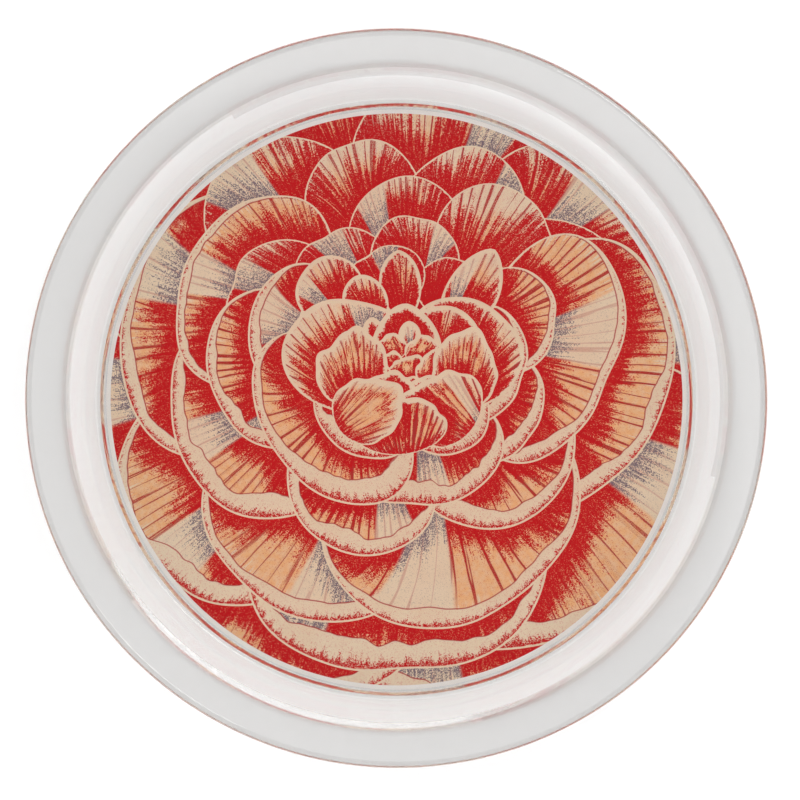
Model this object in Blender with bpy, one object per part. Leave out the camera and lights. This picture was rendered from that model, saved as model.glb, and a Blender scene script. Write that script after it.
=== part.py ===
"""A round decoupage dish: a clear glass saucer with a flared rim, and under its base a printed
paper disc, a paper backing and a felt pad. It stands on the felt, centred on the origin, +Z up.

Run with: blender --background --python part.py
"""

import math

import bpy
from mathutils import Vector

MM = 0.001

# Driving dimensions, in millimetres.
RIM_DIAMETER = 133.0        # over the lip, the widest place
HEIGHT = 15.2               # from the table to the top of the lip
BASE_THICKNESS = 4.0        # glass under the inner floor
WALL_THICKNESS = 2.5        # the leaning wall
RIM_THICKNESS = 2.0         # the flared rim, whose lip is its full round
FLOOR_RADIUS = 54.5         # inner floor, to the sharp corner before its fillet
BEND_RADIUS = 58.7          # inner surface, where the wall turns out into the rim
RIM_SLOPE = math.radians(28)  # of the rim above the horizontal

FLOOR_FILLET = 1.0          # inner corner of floor and wall
BEND_FILLET = 0.8           # inner surface of the bend
BEND_OUTER_FILLET = 3.4     # outer surface of the bend
FOOT_RADIUS = 53.2          # the low foot that the base stands proud on, at its edge
FOOT_HEIGHT = 0.85
FOOT_LEAN = 0.7             # how far its side leans out on the way up
HEEL_FILLET = 0.9           # where the wall's outer side turns in over the foot
FOOT_FILLET = 0.2           # both ends of the foot's side

PRINT_RADIUS = 52.8
PRINT_THICKNESS = 0.2
BACKING_RADIUS = 52.2
BACKING_THICKNESS = 0.3
FELT_RADIUS = 50.2
FELT_THICKNESS = 1.0
GAP = 0.3                   # between one layer and the next
PAPER_EDGE = 0.05           # the cut edges of the papers are eased by this
FELT_EDGE = 0.25

STEPS_ROUND = 96            # facets round each turned piece
ARC_STEP = math.radians(16)  # largest turn between two points of a profile arc
WELD = 1e-5                 # metres, the merge distance on the axis

BACKING_Z = FELT_THICKNESS + GAP
PRINT_Z = BACKING_Z + BACKING_THICKNESS + GAP
GLASS_Z = PRINT_Z + PRINT_THICKNESS + GAP
FLOOR_Z = GLASS_Z + BASE_THICKNESS


def clear_scene():
    for obj in list(bpy.data.objects):
        bpy.data.objects.remove(obj)


def material(name, colour, roughness, transmission=0.0):
    made = bpy.data.materials.new(name)
    made.use_nodes = True
    shader = made.node_tree.nodes["Principled BSDF"]
    shader.inputs["Base Color"].default_value = (*colour, 1.0)
    shader.inputs["Roughness"].default_value = roughness
    shader.inputs["Transmission Weight"].default_value = transmission
    made.diffuse_color = (*colour, 1.0)
    return made


def arc(centre, radius, start, end):
    """Points on a circle from one angle to another, both ends included."""
    steps = max(2, math.ceil(abs(end - start) / ARC_STEP))
    angles = [start + (end - start) * i / steps for i in range(steps + 1)]
    return [centre + radius * Vector((math.cos(a), math.sin(a))) for a in angles]


def fillet(before, corner, after, radius):
    """The arc of this radius that rounds a corner between two straight stretches."""
    back, ahead = (before - corner).normalized(), (after - corner).normalized()
    half = back.angle(ahead) / 2
    centre = corner + (back + ahead).normalized() * radius / math.sin(half)
    reach = radius / math.tan(half)
    first, last = corner + back * reach - centre, corner + ahead * reach - centre
    start = math.atan2(first.y, first.x)
    turn = first.angle_signed(last)  # clockwise is positive
    return arc(centre, radius, start, start - turn)


def crossing(point_a, way_a, point_b, way_b):
    """Where two lines meet, each given by a point and a direction."""
    share = (point_b - point_a).cross(way_b) / way_a.cross(way_b)
    return point_a + way_a * share


def glass_profile():
    """Radius and height round the glass's section: out along the floor, up the wall's inner side,
    over the lip, down the outer side and back under the base."""
    lip_radius = RIM_THICKNESS / 2
    lip = Vector((RIM_DIAMETER / 2 - lip_radius, HEIGHT - lip_radius))
    rim_way = Vector((math.cos(RIM_SLOPE), math.sin(RIM_SLOPE)))
    rim_up = Vector((-rim_way.y, rim_way.x))
    inner_lip, outer_lip = lip + rim_up * lip_radius, lip - rim_up * lip_radius

    rise = (BEND_RADIUS - inner_lip.x) * rim_way.y / rim_way.x
    inner_bend = Vector((BEND_RADIUS, inner_lip.y + rise))
    floor_corner = Vector((FLOOR_RADIUS, FLOOR_Z))
    wall_way = (inner_bend - floor_corner).normalized()
    wall_out = Vector((wall_way.y, -wall_way.x))
    outer_wall = floor_corner + wall_out * WALL_THICKNESS

    outer_bend = crossing(outer_wall, wall_way, outer_lip, rim_way)
    heel = crossing(outer_wall, wall_way, Vector((0, GLASS_Z + FOOT_HEIGHT)), Vector((1, 0)))
    foot_top = Vector((FOOT_RADIUS + FOOT_LEAN, GLASS_Z + FOOT_HEIGHT))
    foot = Vector((FOOT_RADIUS, GLASS_Z))
    floor_centre, base_centre = Vector((0, FLOOR_Z)), Vector((0, GLASS_Z))

    above = math.atan2(rim_up.y, rim_up.x)
    return [
        floor_centre,
        *fillet(floor_centre, floor_corner, inner_bend, FLOOR_FILLET),
        *fillet(floor_corner, inner_bend, inner_lip, BEND_FILLET),
        *arc(lip, lip_radius, above, above - math.pi),
        *fillet(outer_lip, outer_bend, heel, BEND_OUTER_FILLET),
        *fillet(outer_bend, heel, foot_top, HEEL_FILLET),
        *fillet(heel, foot_top, foot, FOOT_FILLET),
        *fillet(foot_top, foot, base_centre, FOOT_FILLET),
        base_centre,
    ]


def disc_profile(radius, low, thickness, edge):
    """The section of a flat disc with both of its edges chamfered."""
    high = low + thickness
    return [
        Vector((0, high)),
        Vector((radius - edge, high)),
        Vector((radius, high - edge)),
        Vector((radius, low + edge)),
        Vector((radius - edge, low)),
        Vector((0, low)),
    ]


def turned(name, profile, finish):
    """A solid turned about Z from a section that leaves the axis above and comes back to it below."""
    mesh = bpy.data.meshes.new(name)
    points = [(p.x * MM, 0.0, p.y * MM) for p in profile]
    mesh.from_pydata(points, [(i, i + 1) for i in range(len(points) - 1)], [])
    mesh.materials.append(finish)
    obj = bpy.data.objects.new(name, mesh)
    bpy.context.scene.collection.objects.link(obj)
    screw = obj.modifiers.new("turn", "SCREW")
    screw.axis = "Z"
    screw.angle = math.tau
    screw.steps = screw.render_steps = STEPS_ROUND
    screw.use_merge_vertices = True
    screw.merge_threshold = WELD
    screw.use_smooth_shade = True
    return obj


def build():
    clear_scene()
    glass = material("clear_glass", (0.96, 0.97, 0.97), 0.03, transmission=1.0)
    printed = material("printed_paper", (0.72, 0.14, 0.12), 0.6)
    paper = material("backing_paper", (0.86, 0.84, 0.80), 0.8)
    felt = material("felt", (0.66, 0.60, 0.51), 0.95)

    turned("glass_dish", glass_profile(), glass)
    print_section = disc_profile(PRINT_RADIUS, PRINT_Z, PRINT_THICKNESS, PAPER_EDGE)
    turned("printed_disc", print_section, printed)
    backing_section = disc_profile(BACKING_RADIUS, BACKING_Z, BACKING_THICKNESS, PAPER_EDGE)
    turned("backing_paper", backing_section, paper)
    turned("felt_pad", disc_profile(FELT_RADIUS, 0.0, FELT_THICKNESS, FELT_EDGE), felt)


build()
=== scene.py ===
"""The looks of the decoupage dish: clear glass over an engraved camellia, its papers and its felt.

The flower is drawn, not painted on: the print is a flat mesh cut along the petals' outlines, and each
petal carries the coordinates (across it, along it, distance from its edges) from which one ink material
draws its grain, veins, stripe and rolled rim.
"""

import math
import random
from dataclasses import dataclass

import bmesh
import bpy
import numpy as np
from mathutils import Matrix, Vector, noise
from mathutils.geometry import delaunay_2d_cdt


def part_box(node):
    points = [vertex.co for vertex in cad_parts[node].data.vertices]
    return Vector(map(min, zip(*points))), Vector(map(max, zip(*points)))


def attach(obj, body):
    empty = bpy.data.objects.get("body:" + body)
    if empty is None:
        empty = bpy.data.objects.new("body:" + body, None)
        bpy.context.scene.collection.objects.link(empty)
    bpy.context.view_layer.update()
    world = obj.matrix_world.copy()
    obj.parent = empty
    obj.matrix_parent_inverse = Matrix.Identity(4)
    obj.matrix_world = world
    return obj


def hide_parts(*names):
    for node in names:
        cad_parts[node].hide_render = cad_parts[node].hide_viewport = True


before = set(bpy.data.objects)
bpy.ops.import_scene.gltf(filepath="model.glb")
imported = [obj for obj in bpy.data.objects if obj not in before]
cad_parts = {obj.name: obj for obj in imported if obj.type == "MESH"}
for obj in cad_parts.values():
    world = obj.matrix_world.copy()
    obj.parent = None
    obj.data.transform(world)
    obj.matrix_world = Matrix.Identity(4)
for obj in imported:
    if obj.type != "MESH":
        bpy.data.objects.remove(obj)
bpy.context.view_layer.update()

MM = 0.001


def corners(node):
    """The lowest and highest corner of a CAD node, in millimetres."""
    low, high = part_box(node)
    return Vector(low) / MM, Vector(high) / MM


glass_low, glass_high = corners("glass_dish")
print_low, print_high = corners("printed_disc")
backing_low, backing_high = corners("backing_paper")
felt_low, felt_high = corners("felt_pad")


# ---------------------------------------------------------------- shader graphs

class Field:
    """A value in a material's node tree. Arithmetic on it adds the Math nodes that work it out."""

    def __init__(self, tree, socket):
        self.tree = tree
        self.socket = socket

    def math(self, operation, *others):
        node = self.tree.nodes.new("ShaderNodeMath")
        node.operation = operation
        feed(node.inputs, (self, *others))
        return Field(self.tree, node.outputs[0])

    def __add__(self, other):
        return self.math("ADD", other)

    def __sub__(self, other):
        return self.math("SUBTRACT", other)

    def __mul__(self, other):
        return self.math("MULTIPLY", other)

    def __truediv__(self, other):
        return self.math("DIVIDE", other)

    __radd__ = __add__
    __rmul__ = __mul__

    def __rsub__(self, other):
        return self * -1.0 + other

    def least(self, other):
        return self.math("MINIMUM", other)

    def most(self, other):
        return self.math("MAXIMUM", other)

    def magnitude(self):
        return self.math("ABSOLUTE")

    def step(self, low, high):
        """A smooth climb from 0 where this is low to 1 where it is high. Low may be the larger."""
        node = self.tree.nodes.new("ShaderNodeMapRange")
        node.interpolation_type = "SMOOTHSTEP"
        feed(node.inputs, (self, low, high))
        return Field(self.tree, node.outputs[0])


def feed(slots, values):
    """Puts numbers into a node's inputs, and links fields to them."""
    for slot, value in zip(slots, values):
        if isinstance(value, Field):
            value.tree.links.new(value.socket, slot)
        else:
            slot.default_value = value


class Inks:
    """A material's node tree, with the few helpers that drawing in it needs."""

    def __init__(self, material):
        material.use_nodes = True
        self.tree = material.node_tree
        self.shader = self.tree.nodes["Principled BSDF"]

    def node(self, kind, **settings):
        made = self.tree.nodes.new(kind)
        for key, value in settings.items():
            setattr(made, key, value)
        return made

    def attribute(self, name):
        """The three numbers of a vector attribute."""
        source = self.node("ShaderNodeAttribute", attribute_name=name)
        split = self.node("ShaderNodeSeparateXYZ")
        self.tree.links.new(source.outputs["Vector"], split.inputs[0])
        return [Field(self.tree, output) for output in split.outputs]

    def place(self):
        """Where the point is on the object."""
        return self.node("ShaderNodeTexCoord").outputs["Object"]

    def from_axis(self, place):
        """How far a place is from the object's upright axis."""
        flat = self.node("ShaderNodeVectorMath", operation="MULTIPLY")
        self.tree.links.new(place, flat.inputs[0])
        flat.inputs[1].default_value = (1.0, 1.0, 0.0)
        length = self.node("ShaderNodeVectorMath", operation="LENGTH")
        self.tree.links.new(flat.outputs["Vector"], length.inputs[0])
        return Field(self.tree, length.outputs["Value"])

    def vector(self, x, y, z=0.0):
        """Three numbers or fields, joined."""
        node = self.node("ShaderNodeCombineXYZ")
        feed(node.inputs, (x, y, z))
        return node.outputs[0]

    def noise(self, vector, scale, detail=1.0):
        """Noise spread to about 0 to 1."""
        node = self.node("ShaderNodeTexNoise")
        self.tree.links.new(vector, node.inputs["Vector"])
        node.inputs["Scale"].default_value = scale
        node.inputs["Detail"].default_value = detail
        return Field(self.tree, node.outputs["Fac"]).step(0.28, 0.72)

    def chance(self, vector):
        """A number from 0 to 1 that has nothing to do with its neighbours'."""
        node = self.node("ShaderNodeTexWhiteNoise", noise_dimensions="3D")
        self.tree.links.new(vector, node.inputs["Vector"])
        return Field(self.tree, node.outputs["Value"])

    def mix(self, share, below, above):
        """One colour over another. A colour is a tuple or a socket."""
        node = self.node("ShaderNodeMix", data_type="RGBA")
        self.tree.links.new(share.socket, node.inputs["Factor"])
        for slot, value in zip((node.inputs[6], node.inputs[7]), (below, above)):
            if isinstance(value, tuple):
                slot.default_value = (*value, 1.0)
            else:
                self.tree.links.new(value, slot)
        return node.outputs[2]

    def finish(self, colour, roughness, height=None, bump_mm=0.0):
        """Joins a colour socket, the roughness and a relief to the shader, which keeps its own colour
        where none is given."""
        if colour is not None:
            self.tree.links.new(colour, self.shader.inputs["Base Color"])
        feed([self.shader.inputs["Roughness"]], [roughness])
        if height is not None:
            bump = self.node("ShaderNodeBump")
            bump.inputs["Distance"].default_value = bump_mm * MM
            self.tree.links.new(height.socket, bump.inputs["Height"])
            self.tree.links.new(bump.outputs[0], self.shader.inputs["Normal"])


def srgb(red, green, blue):
    """A colour given in 0 to 255, made linear."""
    def linear(c):
        c /= 255.0
        return c / 12.92 if c <= 0.04045 else ((c + 0.055) / 1.055) ** 2.4
    return linear(red), linear(green), linear(blue)


# ---------------------------------------------------------------- the drawing: petals

PRINT_RADIUS = (print_high.x - print_low.x) / 2
BUD = (2.0, 10.0)                        # the flower's middle, off the disc's centre, mm
# How far out the tips of each ring's petals reach, in mm, and how many petals it has.
RINGS = ((84, 9), (74, 9), (64, 8), (54.5, 8), (45, 8), (36, 7), (28, 7), (21.5, 6))
RING_SEED = 70
HEART_SEED = 1000                        # the seeds of the petals in the heart start here
ROLLED_BELOW = 0.35                      # sine of the way round, under which a ring's petals are rolled
RIPPLES = (2, 5, 9)                      # waves along an outline
RIPPLE_PACE = 1.3
NOTCH_WIDTH = 0.16                       # radians
CUP_ROUNDING = 1.1                       # over 1 makes a cup slimmer towards its heel
CUP_DEPTH = 12.0                         # how far behind a cup's base its strokes would meet, mm
CUP_SPREAD = 0.9                         # of those strokes to either side of the heading, radians
CUP_CLIMB = 2.2                          # how fast a cup's red thins out on the way up from its heel
NEARBY = 12.0                            # outlines farther than this cast no shade on a petal, mm
TRACE_ANGLES = 721                       # at which an outline is traced before it is spaced evenly


@dataclass
class Petal:
    """A petal as a fan about its hidden base, in millimetres: how far it reaches at each angle."""
    base: tuple
    heading: float
    length: float
    spread: float = math.radians(74)     # from the heading to either side
    broad: float = 1.0                   # stretch across the heading
    roundness: float = 2.5               # under 2 comes to a point
    notch: float = 0.0                   # share of the length taken off at the tip
    wave: float = 0.012                  # how rippled the outline is, as a share of the length
    rim: float = 0.0                     # width of the rolled-over edge
    rim_middle: float = 0.0              # where across the fan it is widest
    outline: float = 0.34                # width of the pale line along the edge
    lip: float = 0.0                     # more of it at the tip
    depth: float = 6.0                   # how far the red runs out from the base or a covering petal
    streak: float = 0.6                  # how ragged that red is
    cream: float = 0.0                   # how much of the outer part is bare paper
    stripe: float = 9.0                  # middle of the pale stripe across the fan, out of it if none
    stripe_width: float = 0.0            # from its middle to either side, across the fan
    veins: float = 22.0                  # how many fan out
    bend: float = 0.0                    # how far the veins curve aside on the way out
    skew: float = 0.0                    # longer on one side of the heading
    curl: float = 0.0                    # from the lip to the red below it, on a cupped petal
    heel: float = 0.0                    # a cup seen from outside rounds off this far behind its base
    seed: int = 0

    def reach(self, angle):
        """The outline's distance from the base at angles off the heading."""
        rng = np.random.default_rng(self.seed)
        phases = rng.uniform(0, math.tau, 3)
        ripple = self.wave * 2.0 * sum(
            np.sin(k * angle * RIPPLE_PACE + phase) / k for k, phase in zip(RIPPLES, phases)
        )
        if self.heel:
            front = (0.5 + 0.5 * np.cos(angle)) ** CUP_ROUNDING
            return self.heel + (self.length - self.heel) * front + self.length * ripple * 2.0 * front ** 2
        u = np.clip(np.abs(angle / self.spread), 0.0, 1.0)
        dip = self.notch * np.exp(-((angle / NOTCH_WIDTH) ** 2))
        body = (1.0 - u ** self.roundness) ** (1.0 / self.roundness)
        return self.length * body * (1.0 + self.skew * np.sin(angle) + ripple - dip)

    def boundary(self, spacing):
        """Points round the whole outline, about evenly spaced."""
        angles = np.linspace(-self.spread, self.spread, TRACE_ANGLES)
        x, y = self.place(self.reach(angles), angles)
        run = np.concatenate([[0.0], np.cumsum(np.hypot(np.diff(x), np.diff(y)))])
        steps = max(8, int(run[-1] / spacing))
        at = np.linspace(0, run[-1], steps, endpoint=False)
        return np.column_stack([np.interp(at, run, x), np.interp(at, run, y)])

    def place(self, radius, angle):
        """Where a distance from the base and an angle off the heading lead to."""
        ahead, aside = radius * np.cos(angle), radius * np.sin(angle) * self.broad
        c, s = math.cos(self.heading), math.sin(self.heading)
        return self.base[0] + ahead * c - aside * s, self.base[1] + ahead * s + aside * c

    def polar(self, points):
        """Distance from the base and angle off the heading of each point."""
        dx, dy = points[:, 0] - self.base[0], points[:, 1] - self.base[1]
        c, s = math.cos(self.heading), math.sin(self.heading)
        ahead, aside = dx * c + dy * s, (dy * c - dx * s) / self.broad
        return np.hypot(ahead, aside), np.arctan2(aside, ahead)

    def covers(self, points):
        """Which of the points lie inside the outline."""
        radius, angle = self.polar(points)
        return (np.abs(angle) < self.spread) & (radius < self.reach(angle))

    def fan(self, radius, angle):
        """Where a point is for the inks: across the fan from -1 to 1, half the fan's breadth there in
        mm, the distance from the base (None in a cup), and how much it faces the tip from 0 to 1."""
        if not self.heel:
            across = np.clip(angle / self.spread, -1.0, 1.0)
            return across, radius * self.spread, radius, 1.0 - across ** 2
        ahead, aside = radius * np.cos(angle), radius * np.sin(angle)
        across = np.arctan2(aside, ahead + CUP_DEPTH) / CUP_SPREAD
        front = 0.5 + 0.5 * np.cos(angle)
        return across, (ahead + CUP_DEPTH) * CUP_SPREAD, None, front


def ring_petals():
    """The open petals, outermost ring first. Later petals lie over earlier ones."""
    petals = []
    for ring, (radius, count) in enumerate(RINGS):
        rng = random.Random(RING_SEED + ring)
        first = math.tau / count * (0.5 * ring + rng.uniform(-0.1, 0.1)) + 0.35
        # About one petal in three lies under both its neighbours, and one in three over both.
        order = sorted(range(count), key=lambda j: (j * 2 % 3, rng.random()))
        for j in order:
            around = first + math.tau * (j + rng.uniform(-0.14, 0.14)) / count
            up = math.sin(around)
            tip = radius * (1.0 - 0.12 * up) * rng.uniform(0.93, 1.07)
            back = radius * rng.uniform(0.24, 0.36)
            rolled = up < ROLLED_BELOW
            heading = around + rng.uniform(-0.22, 0.22)
            spread = math.radians(rng.uniform(64, 78))
            downwards = math.remainder(-math.pi / 2 - heading, math.tau)
            petals.append(Petal(
                base=(BUD[0] + back * math.cos(around), BUD[1] + back * math.sin(around)),
                heading=heading,
                length=tip - back,
                spread=spread,
                broad=rng.uniform(0.95, 1.25) if rolled else rng.uniform(0.8, 1.0),
                roundness=rng.uniform(1.8, 2.7),
                notch=rng.choice([0.0, 0.0, 0.02, 0.035]),
                wave=rng.uniform(0.010, 0.026),
                skew=rng.uniform(-0.16, 0.16),
                rim=(2.6 + 0.032 * radius) * rng.uniform(0.7, 1.3) * min(1.0, 0.75 - up) if rolled else 0.0,
                rim_middle=min(0.5, max(-0.5, downwards / spread * 0.7)) + rng.uniform(-0.12, 0.12),
                outline=0.32 if rolled else 0.26,
                depth=(3.3 + 0.043 * radius) * rng.uniform(0.8, 1.3) if rolled else 3.8 + 0.072 * radius,
                streak=0.9 if rolled else 1.5,
                cream=0.15 if rolled else rng.uniform(0.5, 1.0),
                stripe=rng.uniform(-0.45, 0.45) if rng.random() < 0.7 else 9.0,
                stripe_width=rng.uniform(0.09, 0.16),
                veins=round(rng.uniform(30, 44)),
                bend=rng.uniform(-0.3, 0.3),
                seed=100 * ring + j,
            ))
    return petals


def bud_petals():
    """The heart: rosettes of ever smaller petals seen from inside, then cupped ones in front of them."""
    petals = []

    def add(x, y, heading, length, spread, **more):
        """A petal placed from the flower's middle, with its angles in degrees."""
        petals.append(Petal(
            base=(BUD[0] + x, BUD[1] + y), heading=math.radians(heading), length=length,
            spread=math.radians(spread), seed=HEART_SEED + len(petals), **more))

    def inside(x, y, heading, length, spread, roundness, **more):
        add(x, y, heading, length, spread, roundness=roundness, **more)

    def cup(x, y, heading, length, heel, broad, **more):
        add(x, y, heading, length, 180, heel=heel, broad=broad, **more)

    tall = dict(outline=0.30, lip=0.35, streak=1.2, cream=0.6, wave=0.02)
    inside(-9.0, 2.0, 124, 15.5, 50, 2.0, veins=20, depth=4.5, stripe=0.3, stripe_width=0.14, **tall)
    inside(6.0, -1.0, 62, 21.0, 38, 1.35, veins=16, depth=5.0, skew=-0.1,
           stripe=0.3, stripe_width=0.16, **tall)
    inside(-0.6, 3.0, 94, 14.0, 44, 1.4, veins=13, depth=8.0, skew=0.12, **tall)
    inside(-5.0, 1.5, 112, 11.5, 46, 1.8, veins=14, depth=3.6, **tall)

    wall = dict(outline=0.34, lip=0.6, streak=1.5, cream=0.5, wave=0.03)
    inside(-5.0, -14.0, 111, 23.5, 58, 2.3, veins=26, depth=4.0, skew=0.1,
           stripe=-0.25, stripe_width=0.12, **wall)
    inside(5.0, -14.0, 70, 23.0, 56, 2.2, veins=26, depth=4.0, skew=-0.1, **wall)
    inside(3.2, -12.0, 78, 19.0, 50, 2.0, veins=22, depth=3.4, **wall)
    inside(-6.5, -7.5, 116, 11.0, 44, 1.7, veins=13, depth=2.6, stripe=0.1, stripe_width=0.2, **wall)
    inside(-5.0, -4.5, 99, 9.4, 36, 1.5, veins=11, depth=2.4, **wall)

    arch = dict(outline=0.55, lip=0.5, streak=0.5, cream=0.2, wave=0.03)
    inside(0.2, -13.0, 91, 20.0, 50, 1.5, veins=20, depth=9.0, **arch)
    inside(0.6, -2.6, 92, 6.8, 46, 1.5, veins=9, depth=1.6, stripe=0.0, stripe_width=0.2, **arch)

    folded = dict(outline=0.16, lip=0.45, cream=0.8, streak=1.3, wave=0.07, depth=0.9)
    cup(-2.6, -1.4, 112, 3.0, 1.7, 1.25, veins=12, curl=0.7, **folded)
    cup(2.2, -2.0, 62, 3.6, 2.2, 1.05, veins=12, curl=0.7, **folded)
    cup(-3.3, -4.6, 124, 3.4, 1.8, 1.15, veins=12, curl=0.8, **folded)
    cup(0.2, -5.2, 88, 3.0, 1.8, 1.5, veins=14, curl=0.7, **folded)
    cup(4.6, -6.0, 70, 5.2, 2.4, 0.9, veins=14, curl=1.0, **folded)
    cup(-5.4, -7.6, 126, 5.6, 2.6, 0.9, veins=16, curl=1.0, **folded)
    cup(-0.2, -8.8, 98, 3.4, 2.2, 1.45, veins=14, curl=0.9, **folded)

    front = dict(outline=0.16, lip=0.75, cream=0.7, streak=1.9, wave=0.06)
    cup(-9.6, -7.6, 102, 10.5, 3.6, 0.85, veins=24, depth=3.0, curl=1.5, **front)
    cup(10.0, -7.8, 82, 9.6, 3.8, 0.9, veins=24, depth=3.0, curl=1.5, **front)
    cup(3.6, -11.6, 118, 5.6, 3.0, 1.25, veins=22, depth=2.4, curl=1.3, **front)
    cup(-4.4, -11.2, 62, 6.2, 3.4, 1.15, veins=22, depth=2.4, curl=1.3,
        stripe=0.3, stripe_width=0.1, **front)
    cup(8.2, -13.0, 140, 8.8, 4.4, 1.15, veins=26, depth=3.2, curl=1.8,
        stripe=-0.3, stripe_width=0.07, **front)
    cup(-1.2, -15.2, 96, 5.0, 4.9, 1.75, veins=34, depth=3.2, curl=1.8, **front)
    cup(-9.0, -13.2, 38, 8.2, 4.2, 1.0, veins=26, depth=4.6, curl=1.7, **front)
    return petals


def distance(points, starts, ends, batch=64):
    """Shortest distance from each point to a set of straight pieces."""
    nearest = np.full(len(points), np.inf)
    for low in range(0, len(starts), batch):
        a, b = starts[low:low + batch], ends[low:low + batch]
        along = b - a
        to_point = points[:, None, :] - a[None, :, :]
        length2 = np.maximum((along ** 2).sum(1), 1e-12)
        share = np.clip((to_point * along).sum(2) / length2, 0.0, 1.0)
        gap = to_point - share[:, :, None] * along
        nearest = np.minimum(nearest, np.sqrt((gap ** 2).sum(2)).min(1))
    return nearest


# ---------------------------------------------------------------- the drawing: its mesh

# Sizes in millimetres. The heart is drawn small, so it gets finer triangles.
DISC_POINTS = 480                        # round the disc's edge
OUTLINE_STEP, HEART_OUTLINE_STEP = 0.9, 0.45
GRID_STEP, HEART_GRID_STEP = 1.3, 0.55
HEART_RADIUS = 15.0
SMALL_PETAL = 18.0                       # a petal of the heart shorter than this gets the finer step
SHADE_STEP = 0.3                         # between the outline points that distances are measured to
OUTSIDE = 1.5                            # outlines farther than this past the disc's edge aren't cut
SHADE_OUTSIDE = 4.0                      # and farther than this cast no shade
EDGE_CLEARANCE = 0.4                     # between the grid's points and the disc's edge
WELD = 1e-4
UV_SPAN = 2.05                           # width of the texture square, in radii of the disc
NOISE_SEEDS = 97                         # the petals' noises start from this many different numbers
LABELS = ("place", "shore", "style", "tone", "line", "fold")


def hidden_points(petals, index, outline, outside):
    """Which points of a petal's outline are under a later petal, or this far outside the disc."""
    hidden = np.hypot(outline[:, 0], outline[:, 1]) > PRINT_RADIUS + outside
    for above in petals[index + 1:]:
        hidden |= above.covers(outline)
    return hidden


def grid_points(step, wanted):
    """A grid of triangles' corners over the disc, kept where their distance from the bud is wanted."""
    rows = np.arange(-PRINT_RADIUS, PRINT_RADIUS, step * math.sqrt(3) / 2)
    cells = np.array([
        (x + (step / 2 if n % 2 else 0), y)
        for n, y in enumerate(rows) for x in np.arange(-PRINT_RADIUS, PRINT_RADIUS, step)
    ])
    cells = cells[np.hypot(cells[:, 0], cells[:, 1]) < PRINT_RADIUS - EDGE_CLEARANCE]
    return cells[wanted(np.hypot(cells[:, 0] - BUD[0], cells[:, 1] - BUD[1]))]


def triangulate(petals):
    """Triangles of the disc that follow every visible outline, and the petal on top in each."""
    around = np.linspace(0, math.tau, DISC_POINTS, endpoint=False)
    points = [PRINT_RADIUS * np.column_stack([np.cos(around), np.sin(around)])]
    edges = [(i, (i + 1) % DISC_POINTS) for i in range(DISC_POINTS)]
    offset = DISC_POINTS
    for index, petal in enumerate(petals):
        small = petal.length < SMALL_PETAL and petal.seed >= HEART_SEED
        outline = petal.boundary(HEART_OUTLINE_STEP if small else OUTLINE_STEP)
        hidden = hidden_points(petals, index, outline, OUTSIDE)
        count = len(outline)
        shown = [i for i in range(count) if not (hidden[i] and hidden[(i + 1) % count])]
        used = sorted({i for s in shown for i in (s, (s + 1) % count)})
        number = {i: offset + n for n, i in enumerate(used)}
        points.append(outline[used])
        edges += [(number[s], number[(s + 1) % count]) for s in shown]
        offset += len(used)
    points.append(grid_points(GRID_STEP, lambda far: far >= HEART_RADIUS))
    points.append(grid_points(HEART_GRID_STEP, lambda far: far < HEART_RADIUS))

    places = [Vector(p) for p in np.concatenate(points)]
    verts, _, faces, *_ = delaunay_2d_cdt(places, edges, [], 0, WELD)
    verts = np.array([tuple(v) for v in verts])
    faces = np.array([tuple(f) for f in faces])
    centres = verts[faces].mean(1)
    inside = np.hypot(centres[:, 0], centres[:, 1]) < PRINT_RADIUS * 0.99999
    faces, centres = faces[inside], centres[inside]
    owner = np.full(len(faces), -1)
    for index, petal in enumerate(petals):
        owner[petal.covers(centres)] = index
    return verts, faces, owner


def ink_values(petal, here, outline, edges_above):
    """What the inks need at points of one petal: for each label, three numbers."""
    radius, angle = petal.polar(here)
    across, breadth, from_base, front = petal.fan(radius, angle)
    along = np.clip(radius / np.maximum(petal.reach(angle), 1e-6), 0.0, 1.0)
    edge = distance(here, *outline)
    if from_base is None:
        above_heel = radius * np.cos(angle) + 0.5 * petal.heel
        from_base = edge + CUP_CLIMB * np.maximum(0.0, above_heel)

    low, high = here.min(0) - NEARBY, here.max(0) + NEARBY
    cover = np.full(len(here), NEARBY + 4.0)
    for starts, ends in edges_above:
        near = ((starts > low) & (starts < high)).all(1)
        if near.any():
            cover = np.minimum(cover, distance(here, starts[near], ends[near]))

    aside = across - petal.rim_middle
    shift = np.clip(aside / (1.0 - petal.rim_middle * np.sign(aside)), -1.0, 1.0)
    roll = petal.rim * (1.0 - shift ** 2) ** 2
    line_width = petal.outline + petal.lip * np.maximum(0.0, front) ** 1.5
    even = np.ones(len(here))
    return {
        "place": (across + petal.bend * across * along ** 2, along, breadth),
        "shore": (edge, cover, roll),
        "style": (petal.veins * even, petal.stripe * even, petal.stripe_width * even),
        "tone": (petal.depth * even, petal.cream * even, (petal.seed % NOISE_SEEDS + 0.5) * even),
        "line": (line_width, petal.streak * even, from_base),
        "fold": (petal.curl * front ** 0.5, 0.0 * even, 0.0 * even),
    }


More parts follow.
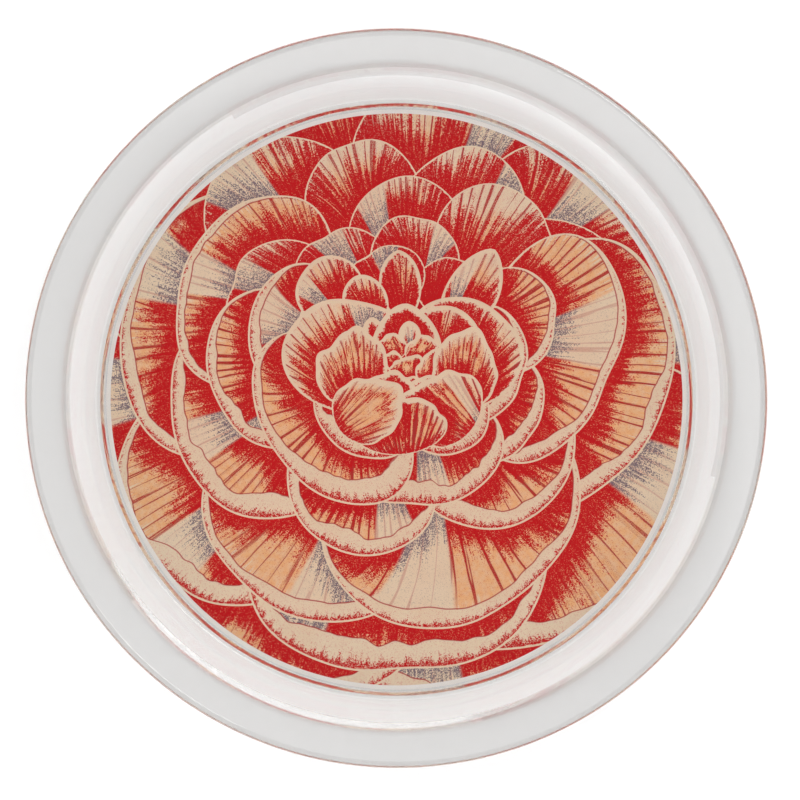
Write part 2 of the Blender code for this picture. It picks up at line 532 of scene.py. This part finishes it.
def drawing_mesh(name):
    """The flat drawing, every face corner carrying the numbers its petal's inks are drawn from."""
    petals = ring_petals() + bud_petals()
    verts, faces, owner = triangulate(petals)
    corner_point = verts[faces].reshape(-1, 2)
    corner_owner = np.repeat(owner, 3)
    loops = [petal.boundary(SHADE_STEP) for petal in petals]
    spans = [(loop, np.roll(loop, -1, axis=0)) for loop in loops]
    seen = []
    for index, (starts, ends) in enumerate(spans):
        hidden = hidden_points(petals, index, starts, SHADE_OUTSIDE)
        seen.append((starts[~hidden], ends[~hidden]))

    values = {label: np.zeros((len(corner_point), 3), np.float32) for label in LABELS}
    for index, petal in enumerate(petals):
        mine = corner_owner == index
        if mine.any():
            made = ink_values(petal, corner_point[mine], spans[index], seen[index + 1:])
            for label in LABELS:
                values[label][mine] = np.column_stack(made[label])

    mesh = bpy.data.meshes.new(name)
    mesh.from_pydata([(x * MM, y * MM, 0.0) for x, y in verts], [], faces.tolist())
    for label in LABELS:
        attribute = mesh.attributes.new(label, "FLOAT_VECTOR", "CORNER")
        attribute.data.foreach_set("vector", values[label].ravel())
    uv = mesh.uv_layers.new(name="OFBake")
    flat = (corner_point / (UV_SPAN * PRINT_RADIUS) + 0.5).astype(np.float32)
    uv.data.foreach_set("uv", flat.ravel())
    mesh.update()
    return mesh


# ---------------------------------------------------------------- the materials

RED = srgb(206, 4, 18)
CRIMSON = srgb(182, 12, 30)
CREAM = srgb(243, 224, 196)
WARM_CREAM = srgb(238, 208, 176)
PEACH = srgb(246, 190, 136)
MAUVE = srgb(128, 110, 120)
SHADOW = srgb(190, 12, 26)
# painted light: the margin is near white, whiter than the paper, for the light showing through the glass
MARGIN_PAINTED_LIGHT = srgb(252, 250, 246)
MARGIN_WIDTH = 0.8                       # unprinted paper round the drawing, painted near white as light showing through the glass, mm
# Scales of noise, as patches to a metre.
GRAIN = 6000.0
COARSE_GRAIN = 2600.0
TINT_PATCHES = 900.0
BLOTCHES = 180.0


class PrintInks(Inks):
    """The engraver's inks, worked out from the numbers that the drawing's corners carry."""

    def __init__(self, material):
        super().__init__(material)
        self.across, self.along, self.breadth = self.attribute("place")
        self.edge, self.cover, self.roll = self.attribute("shore")
        self.veins, self.stripe_middle, self.stripe_width = self.attribute("style")
        self.depth, self.bare, self.seed = self.attribute("tone")
        self.outline, self.streak, self.from_base = self.attribute("line")
        self.curl = self.attribute("fold")[0]
        self.hidden = self.cover.least(self.from_base + 0.6)
        self.where = self.place()
        self.grain = self.noise(self.where, GRAIN)
        self.coarse_grain = self.noise(self.where, COARSE_GRAIN)
        self.blotch = self.noise(self.where, BLOTCHES, 2.0)
        self.strokes = self.drawn_out(0.9, 1.6, 3.1)
        self.fine_strokes = self.drawn_out(3.0, 3.5, 5.3)

    def drawn_out(self, across_pace, along_pace, seed_pace):
        """Noise in strokes that run out along the petal."""
        across = self.across * self.veins * across_pace
        return self.noise(self.vector(across, self.along * along_pace, self.seed * seed_pace), 1.0, 2.0)

    def dots(self, tone, softness=0.26):
        """Turns an even tone into grains, which meet as it deepens."""
        return (tone + (self.grain - 0.5) * 0.95).step(0.5 - softness, 0.5 + softness)

    def red(self):
        """Red runs out from the base or the petal above, and hangs in teeth from a cup's lip."""
        ragged = (self.strokes * 0.55 + self.fine_strokes * 0.45 - 0.5) * self.streak
        run = self.hidden / (self.depth * (0.55 + 0.55 * self.blotch)) - ragged
        below_lip = self.edge / self.curl.most(0.1) - (self.strokes + self.fine_strokes - 1.0) * 1.1
        teeth = below_lip.step(0.8, 1.5) * below_lip.step(2.8, 1.4) * self.curl.step(0.1, 0.3)
        teeth *= self.fine_strokes.step(0.25, 0.6)
        return self.dots(run.step(1.40, 0.32).most(teeth))

    def vein(self):
        """Veins fan out along the petal, each of its own length and weight."""
        lane = (self.across * 0.5 + 0.5) * self.veins + (self.strokes - 0.5) * 0.35
        number = lane.math("FLOOR")
        length_chance = self.chance(self.vector(number, self.seed, 1.0))
        weight_chance = self.chance(self.vector(number, self.seed, 2.0))
        off_middle = (lane.math("FRACT") - (0.3 + 0.4 * weight_chance)).magnitude()
        off = off_middle * 2.0 * self.breadth / self.veins
        reach = 0.55 + 0.6 * length_chance
        weight = 0.09 + 0.12 * weight_chance
        fading = (self.hidden / self.depth).step(reach * 5.0, reach * 2.5)
        return off.step(weight * 1.35, weight * 0.65) * fading

    def stripe(self):
        """The pale stripe along some petals."""
        half = self.stripe_width * (0.65 + 0.5 * self.along)
        return (self.across - self.stripe_middle).magnitude().step(half + 0.02, half)

    def stripe_shade(self):
        """Mauve grains where the stripe comes out from what covers it."""
        run = self.hidden / (self.depth * 0.8) - (self.fine_strokes - 0.5) * 0.9
        return self.dots(run.step(1.1, -0.1) * 0.72, 0.2)

    def rolled_rim(self):
        """The rolled rim, the red hatching towards its outer edge, and the wavering seam inside it."""
        has_rim = self.roll.step(0.15, 0.3)
        waver = self.noise(self.vector(self.across * 4.5, self.seed), 1.0, 2.0)
        border = self.roll * (0.72 + 0.5 * waver)
        rim = (self.edge - border).step(0.05, -0.05) * has_rim
        seam = (self.edge - border).magnitude().step(0.17, 0.07) * has_rim
        teeth = self.noise(self.vector(self.across * self.veins * 2.2, self.seed, 4.0), 1.0, 2.0)
        hatch_tone = (self.edge / border.most(0.2)).step(0.25 + 0.55 * teeth, 0.12)
        inside_line = self.edge.step(self.outline * 0.9, self.outline * 1.2)
        return rim, self.dots(hatch_tone * 0.85) * inside_line, seam

    def pale_line(self):
        """The line of bare paper along the very edge."""
        width = self.outline * (0.55 + 0.45 * self.coarse_grain + 0.45 * self.strokes)
        return self.edge.step(width * 1.2, width * 0.85)

    def margin(self):
        """The unprinted paper outside the drawing, painted near white, whiter than the paper, as the light
        that shows through the glass past the print.
        """
        printed_to = (PRINT_RADIUS - MARGIN_WIDTH) * MM
        return self.from_axis(self.where).step(printed_to, printed_to + 0.05 * MM)


def print_material():
    """Red over peach over cream paper, as an engraver would lay them."""
    material = bpy.data.materials.new("print_inks")
    inks = PrintInks(material)
    red, vein = inks.red(), inks.vein()
    rim, hatch, seam = inks.rolled_rim()
    stripe, shade = inks.stripe(), inks.stripe_shade()

    paper = inks.mix(inks.blotch * 0.35, CREAM, WARM_CREAM)
    bare_share = (inks.along + (inks.fine_strokes - 0.5) * 0.2).step(
        1.02 - inks.bare * 0.55, 1.05 - inks.bare * 0.15)
    colour = inks.mix(bare_share, PEACH, paper)
    colour = inks.mix(inks.noise(inks.where, TINT_PATCHES, 2.0) * 0.35, colour, CREAM)
    colour = inks.mix(vein * 0.95, colour, CRIMSON)
    colour = inks.mix(red, colour, RED)
    striped = inks.mix(shade, paper, MAUVE)
    striped = inks.mix(vein * 0.35 * (1.0 - shade), striped, CRIMSON)
    colour = inks.mix(stripe, colour, striped)
    colour = inks.mix(rim, colour, paper)
    colour = inks.mix(hatch * rim, colour, RED)
    colour = inks.mix(seam * 0.8, colour, CRIMSON)
    colour = inks.mix(inks.pale_line(), colour, paper)
    on_petal = inks.depth.step(0.2, 0.5)
    colour = inks.mix(on_petal, SHADOW, colour)
    # painted light: the near-white margin round the drawing
    colour = inks.mix(inks.margin(), colour, MARGIN_PAINTED_LIGHT)
    inks.finish(colour, 0.55)
    inks.shader.inputs["Specular IOR Level"].default_value = 0.2
    return material


def paper_material(name, colour, fibre_colour):
    """Uncoated paper, clouded and fibrous."""
    material = bpy.data.materials.new(name)
    inks = Inks(material)
    where = inks.place()
    fibres = inks.noise(where, 1500.0, 3.0)
    clouds = inks.noise(where, 120.0, 2.0)
    tone = inks.mix(clouds * 0.5 + fibres * 0.25, colour, fibre_colour)
    inks.finish(tone, 0.7 + fibres * 0.2, fibres, 0.05)
    return material


def felt_material():
    """Matted wool fibres over a coarser weave."""
    material = bpy.data.materials.new("wool_felt")
    inks = Inks(material)
    where = inks.place()
    warp = inks.noise(where, 700.0, 2.0)
    fibres = inks.noise(where, 2600.0, 4.0)
    clouds = inks.noise(where, 90.0, 2.0)
    tone = inks.mix(fibres * 0.6 + clouds * 0.3, srgb(196, 188, 172), srgb(226, 220, 206))
    inks.finish(tone, 0.85 + warp * 0.1, fibres * 0.7 + warp * 0.5, 0.25)
    inks.shader.inputs["Sheen Weight"].default_value = 0.4
    return material


def glass_material(name, tint):
    """Clear glass with a breath of ripple and of handling marks."""
    material = bpy.data.materials.new(name)
    inks = Inks(material)
    where = inks.place()
    marks = inks.noise(where, 60.0, 4.0)
    ripple = inks.noise(where, 35.0, 2.0)
    inks.shader.inputs["Base Color"].default_value = (*tint, 1.0)
    inks.shader.inputs["Transmission Weight"].default_value = 1.0
    inks.shader.inputs["IOR"].default_value = 1.5
    inks.finish(None, marks.step(0.7, 1.0) * 0.04, ripple, 0.05)
    return material


# ---------------------------------------------------------------- the glass

RIM_RADIUS = glass_high.x
TOP = glass_high.z
BASE = glass_low.z
# What the CAD nodes' boxes don't tell repeats the CAD model's section, in millimetres.
FLOOR_Z = BASE + 4.0
WALL_THICKNESS = 2.5
RIM_THICKNESS = 2.0
FLOOR_RADIUS = 54.5                      # inner floor, to the corner before its fillet
BEND_RADIUS = 58.7                       # inner surface, where the wall turns out into the rim
RIM_SLOPE = math.radians(28)
FLOOR_FILLET = 1.0
BEND_FILLET = 0.8
BEND_OUTER_FILLET = 3.4
FOOT_RADIUS = 53.2                       # the low foot, at its edge
FOOT_HEIGHT = 0.85
FOOT_LEAN = 0.7                          # how far its side leans out on the way up
HEEL_FILLET = 0.9
FOOT_FILLET = 0.2
RIM_FROM = 59.6                          # the flared part, its glass tinted greyer than the rest as painted shade, starts here
TURNS = 288                              # facets round the glass
ARC_STEP = math.radians(4)
POINT_GAP = 0.8                          # longest stretch between two points of the section
FLAT_PIECES = 12                         # the flat floor and base need no more stretches than this
CLEAR_TINT = (0.955, 0.955, 0.953)
# painted shade: the flared rim gets a darker-tinted copy of the clear glass
RIM_PAINTED_SHADE_TINT = (0.66, 0.655, 0.65)


def arc(centre, radius, start, end):
    """Points on a circle from one angle to another, both ends included."""
    steps = max(2, math.ceil(abs(end - start) / ARC_STEP))
    angles = [start + (end - start) * i / steps for i in range(steps + 1)]
    return [centre + radius * Vector((math.cos(a), math.sin(a))) for a in angles]


def fillet(before, corner, after, radius):
    """The arc of this radius that rounds a corner between two straight stretches."""
    back, ahead = (before - corner).normalized(), (after - corner).normalized()
    half = back.angle(ahead) / 2
    centre = corner + (back + ahead).normalized() * radius / math.sin(half)
    reach = radius / math.tan(half)
    first, last = corner + back * reach - centre, corner + ahead * reach - centre
    start = math.atan2(first.y, first.x)
    return arc(centre, radius, start, start - first.angle_signed(last))


def crossing(point_a, way_a, point_b, way_b):
    """Where two lines meet, each given by a point and a direction."""
    share = (point_b - point_a).cross(way_b) / way_a.cross(way_b)
    return point_a + way_a * share


def glass_section():
    """Radius and height round the glass: along the floor, up inside, over the lip, down and under."""
    lip_radius = RIM_THICKNESS / 2
    lip = Vector((RIM_RADIUS - lip_radius, TOP - lip_radius))
    rim_way = Vector((math.cos(RIM_SLOPE), math.sin(RIM_SLOPE)))
    rim_up = Vector((-rim_way.y, rim_way.x))
    inner_lip, outer_lip = lip + rim_up * lip_radius, lip - rim_up * lip_radius
    rise = (BEND_RADIUS - inner_lip.x) * rim_way.y / rim_way.x
    inner_bend = Vector((BEND_RADIUS, inner_lip.y + rise))
    floor_corner = Vector((FLOOR_RADIUS, FLOOR_Z))
    wall_way = (inner_bend - floor_corner).normalized()
    outer_wall = floor_corner + Vector((wall_way.y, -wall_way.x)) * WALL_THICKNESS
    outer_bend = crossing(outer_wall, wall_way, outer_lip, rim_way)
    heel = crossing(outer_wall, wall_way, Vector((0, BASE + FOOT_HEIGHT)), Vector((1, 0)))
    foot_top = Vector((FOOT_RADIUS + FOOT_LEAN, BASE + FOOT_HEIGHT))
    foot = Vector((FOOT_RADIUS, BASE))
    floor_centre, base_centre = Vector((0, FLOOR_Z)), Vector((0, BASE))
    above = math.atan2(rim_up.y, rim_up.x)
    turns = [
        floor_centre,
        *fillet(floor_centre, floor_corner, inner_bend, FLOOR_FILLET),
        *fillet(floor_corner, inner_bend, inner_lip, BEND_FILLET),
        *arc(lip, lip_radius, above, above - math.pi),
        *fillet(outer_lip, outer_bend, heel, BEND_OUTER_FILLET),
        *fillet(outer_bend, heel, foot_top, HEEL_FILLET),
        *fillet(heel, foot_top, foot, FOOT_FILLET),
        *fillet(foot_top, foot, base_centre, FOOT_FILLET),
        base_centre,
    ]
    points = [turns[0]]
    for here, there in zip(turns, turns[1:]):
        pieces = max(1, math.ceil((there - here).length / POINT_GAP))
        if here.x == 0 or there.x == 0:
            pieces = FLAT_PIECES
        points += [here.lerp(there, (i + 1) / pieces) for i in range(pieces)]
    return points


def hand_made(radius, height, turn):
    """How far a point of the glass strays from true, outwards and upwards, in millimetres. The lip is
    a little oval and uneven, and the bend a little off centre."""
    up = min(1.0, max(0.0, (height - FLOOR_Z) / (TOP - FLOOR_Z)))
    out = up * (0.16 * math.cos(2 * turn + 0.6) + 0.08 * math.cos(3 * turn + 2.0))
    out += 0.35 * math.sin(math.pi * up) * math.cos(turn - math.radians(60))
    rise = up * (0.12 * math.cos(turn + 2.4) + 0.10 * math.cos(2 * turn + 4.0))
    return out, rise


def turned_mesh(name, section, strays=None):
    """A solid turned about Z from a section that leaves the axis above and comes back to it below."""
    verts = [(0.0, 0.0, section[0].y * MM)]
    for i in range(TURNS):
        turn = math.tau * i / TURNS
        for point in section[1:-1]:
            out, rise = strays(point.x, point.y, turn) if strays else (0.0, 0.0)
            radius = (point.x + out) * MM
            verts.append((radius * math.cos(turn), radius * math.sin(turn), (point.y + rise) * MM))
    verts.append((0.0, 0.0, section[-1].y * MM))
    row = len(section) - 2
    faces = []
    for i in range(TURNS):
        here, there = 1 + i * row, 1 + (i + 1) % TURNS * row
        faces.append((0, here, there))
        faces += [(here + j, here + j + 1, there + j + 1, there + j) for j in range(row - 1)]
        faces.append((here + row - 1, len(verts) - 1, there + row - 1))
    mesh = bpy.data.meshes.new(name)
    mesh.from_pydata(verts, [], faces)
    mesh.shade_smooth()
    return mesh


# ---------------------------------------------------------------- assembling

CONTACT = 0.02                           # between glued layers, and of the print into the glass, mm
PRINT_UNDERSIDE = BASE + CONTACT - (print_high.z - print_low.z)
BACKING_TOP = PRINT_UNDERSIDE - CONTACT
BACKING_UNDERSIDE = BACKING_TOP - (backing_high.z - backing_low.z)
FELT_TOP = BACKING_UNDERSIDE - CONTACT
PAPER_ROUNDING = 0.05                    # of the cut edges, mm
FELT_ROUNDING = 0.3
EDGE_FROM = 40.0                         # a disc's points farther out than this are on its cut edge, mm


def add_piece(mesh, node, slot, *materials):
    """Puts a mesh into the scene in place of a CAD node."""
    for material in materials:
        mesh.materials.append(material)
    piece = bpy.data.objects.new(mesh.name, mesh)
    bpy.context.scene.collection.objects.link(piece)
    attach(piece, "root")
    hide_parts(node)


def disc_section(radius, low, high, edge):
    """The section of a flat disc with both of its edges eased."""
    return [
        Vector((0, high)), Vector((radius * 0.5, high)), Vector((radius - edge, high)),
        Vector((radius - edge * 0.3, high - edge * 0.3)), Vector((radius, high - edge)),
        Vector((radius, low + edge)), Vector((radius - edge * 0.3, low + edge * 0.3)),
        Vector((radius - edge, low)), Vector((radius * 0.5, low)), Vector((0, low)),
    ]


def add_print():
    """The drawing, on its paper, set into the glass by a hair so that no air shows between them."""
    mesh = drawing_mesh("printed_sheet")
    solid = bmesh.new()
    solid.from_mesh(mesh)
    bmesh.ops.translate(solid, verts=solid.verts, vec=(0, 0, (BASE + CONTACT) * MM))
    border = [e for e in solid.edges if e.is_boundary]
    made = bmesh.ops.extrude_edge_only(solid, edges=border)["geom"]
    lower = [v for v in made if isinstance(v, bmesh.types.BMVert)]
    drop = BASE + CONTACT - PRINT_UNDERSIDE
    bmesh.ops.translate(solid, verts=lower, vec=(0, 0, -drop * MM))
    rim_edges = [e for e in solid.edges if e.is_boundary]
    made_faces = [f for f in made if isinstance(f, bmesh.types.BMFace)]
    made_faces += bmesh.ops.holes_fill(solid, edges=rim_edges, sides=0)["faces"]
    for face in made_faces:
        face.material_index = 1
    bmesh.ops.recalc_face_normals(solid, faces=solid.faces)
    solid.to_mesh(mesh)
    solid.free()
    plain = paper_material("print_paper", srgb(226, 214, 190), srgb(214, 198, 170))
    add_piece(mesh, "printed_disc", "printed_paper", print_material(), plain)


def sway(turn, height, pace, rise):
    """Smooth noise that closes on itself round a disc's edge."""
    return noise.noise(Vector((math.cos(turn) * pace, math.sin(turn) * pace, height * rise)))


def cut_paper(radius, height, turn):
    """A cut edge that isn't quite round."""
    return (0.12 * sway(turn, height, 9, 3) if radius > EDGE_FROM else 0.0), 0.0


def cut_felt(radius, height, turn):
    """The felt's fibres stand out from its cut edge."""
    if radius < EDGE_FROM:
        return 0.0, 0.0
    return 0.16 * sway(turn, height, 90, 6) + 0.2 * sway(turn, height, 7, 1), 0.0


def add_glass():
    """The dish, with a darker-tinted copy of its glass on the flared rim as painted shade."""
    mesh = turned_mesh("dish_glass", glass_section(), hand_made)
    for face in mesh.polygons:
        face.material_index = int(math.hypot(face.center.x, face.center.y) > RIM_FROM * MM)
    # painted shade: the rim's faces take the darker copy of the glass
    clear, painted_shade_glass = glass_material("clear_glass", CLEAR_TINT), glass_material("rim_glass_painted_shade", RIM_PAINTED_SHADE_TINT)
    add_piece(mesh, "glass_dish", "clear_glass", clear, painted_shade_glass)


def add_backing():
    """The varnished paper that seals the print from below."""
    section = disc_section(backing_high.x, BACKING_UNDERSIDE, BACKING_TOP, PAPER_ROUNDING)
    varnished = paper_material("backing_paper", srgb(222, 212, 190), srgb(206, 192, 164))
    mesh = turned_mesh("sealed_backing", section, cut_paper)
    add_piece(mesh, "backing_paper", "backing_paper", varnished)


def add_felt():
    """The pad that the dish stands on."""
    section = disc_section(felt_high.x, felt_low.z, FELT_TOP, FELT_ROUNDING)
    mesh = turned_mesh("felt_base", section, cut_felt)
    add_piece(mesh, "felt_pad", "felt", felt_material())


# ---------------------------------------------------------------- the studio

FLOOR_HALF = 3.0                         # half the floor's width, metres
KEY_PLACE, KEY_SIZE, KEY_POWER = (0.35, 0.45, 1.0), 0.3, 1.5
# The world's greys by height: sine of the elevation, grey.
HORIZON, CEILING = (0.06, 0.42), (0.95, 0.02)
WHITE_FROM, WHITE_TO = 0.30, 0.80
WORLD_STRENGTH = 1.85
CAMERA_HEIGHT = 0.78                     # above the lip, metres
SHIFT_X, SHIFT_Y = 0.006, -0.008         # the camera isn't quite over the middle, metres
AIM_X, AIM_Y = 0.00075, -0.00025         # nor does it look quite at the middle
FRAME_MARGIN = 1.0782                    # half the picture's width at the lip, in radii of the rim


def add_floor():
    """A plain pale floor."""
    mesh = bpy.data.meshes.new("floor")
    signs = ((-1, -1), (1, -1), (1, 1), (-1, 1))
    mesh.from_pydata([(x * FLOOR_HALF, y * FLOOR_HALF, 0.0) for x, y in signs], [], [(0, 1, 2, 3)])
    material = bpy.data.materials.new("pale_floor")
    inks = Inks(material)
    clouds = inks.noise(inks.place(), 3.0, 2.0)
    inks.finish(inks.mix(clouds, srgb(239, 239, 239), srgb(242, 242, 242)), 0.9)
    mesh.materials.append(material)
    floor = bpy.data.objects.new("floor", mesh)
    bpy.context.scene.collection.objects.link(floor)


def add_key_light():
    """A weak lamp off to one side, over the even light of the world."""
    data = bpy.data.lights.new("key", "AREA")
    data.shape = "DISK"
    data.size = KEY_SIZE
    data.energy = KEY_POWER
    lamp = bpy.data.objects.new("key", data)
    lamp.location = KEY_PLACE
    lamp.rotation_euler = (-Vector(KEY_PLACE)).to_track_quat("-Z", "Y").to_euler()
    bpy.context.scene.collection.objects.link(lamp)


def add_world():
    """White all round, greyer at the horizon to draw the glass's edges, and dark overhead, so that
    nothing pale lies over the print."""
    world = bpy.data.worlds.new("studio")
    world.use_nodes = True
    tree = world.node_tree
    split = tree.nodes.new("ShaderNodeSeparateXYZ")
    tree.links.new(tree.nodes.new("ShaderNodeTexCoord").outputs["Generated"], split.inputs[0])
    ramp = tree.nodes.new("ShaderNodeValToRGB")
    tree.links.new(split.outputs["Z"], ramp.inputs[0])
    for element, (height, grey) in zip(ramp.color_ramp.elements, (HORIZON, CEILING)):
        element.position = height
        element.color = (grey, grey, grey, 1.0)
    for height in (WHITE_FROM, WHITE_TO):
        ramp.color_ramp.elements.new(height).color = (1.0, 1.0, 1.0, 1.0)
    background = tree.nodes["Background"]
    tree.links.new(ramp.outputs[0], background.inputs["Color"])
    background.inputs["Strength"].default_value = WORLD_STRENGTH
    bpy.context.scene.world = world


def add_camera():
    """Looks almost straight down, with +Y up in the picture."""
    data = bpy.data.cameras.new("camera")
    data.sensor_width = 36.0
    camera = bpy.data.objects.new("camera", data)
    target = Vector((AIM_X, AIM_Y, TOP * MM))
    camera.location = target + Vector((SHIFT_X, SHIFT_Y, CAMERA_HEIGHT))
    back = (camera.location - target).normalized()
    right = Vector((0, 1, 0)).cross(back).normalized()
    camera.rotation_euler = Matrix((right, back.cross(right), back)).transposed().to_euler()
    data.lens = data.sensor_width / 2 * CAMERA_HEIGHT / (RIM_RADIUS * MM * FRAME_MARGIN)
    bpy.context.scene.collection.objects.link(camera)
    bpy.context.scene.camera = camera


add_glass()
add_print()
add_backing()
add_felt()
add_floor()
add_world()
add_key_light()
add_camera()

scene = bpy.context.scene
scene.view_settings.view_transform = "Standard"
scene.cycles.max_bounces = 24            # the glass mirrors light within itself many times
scene.cycles.glossy_bounces = 16
scene.cycles.transmission_bounces = 24
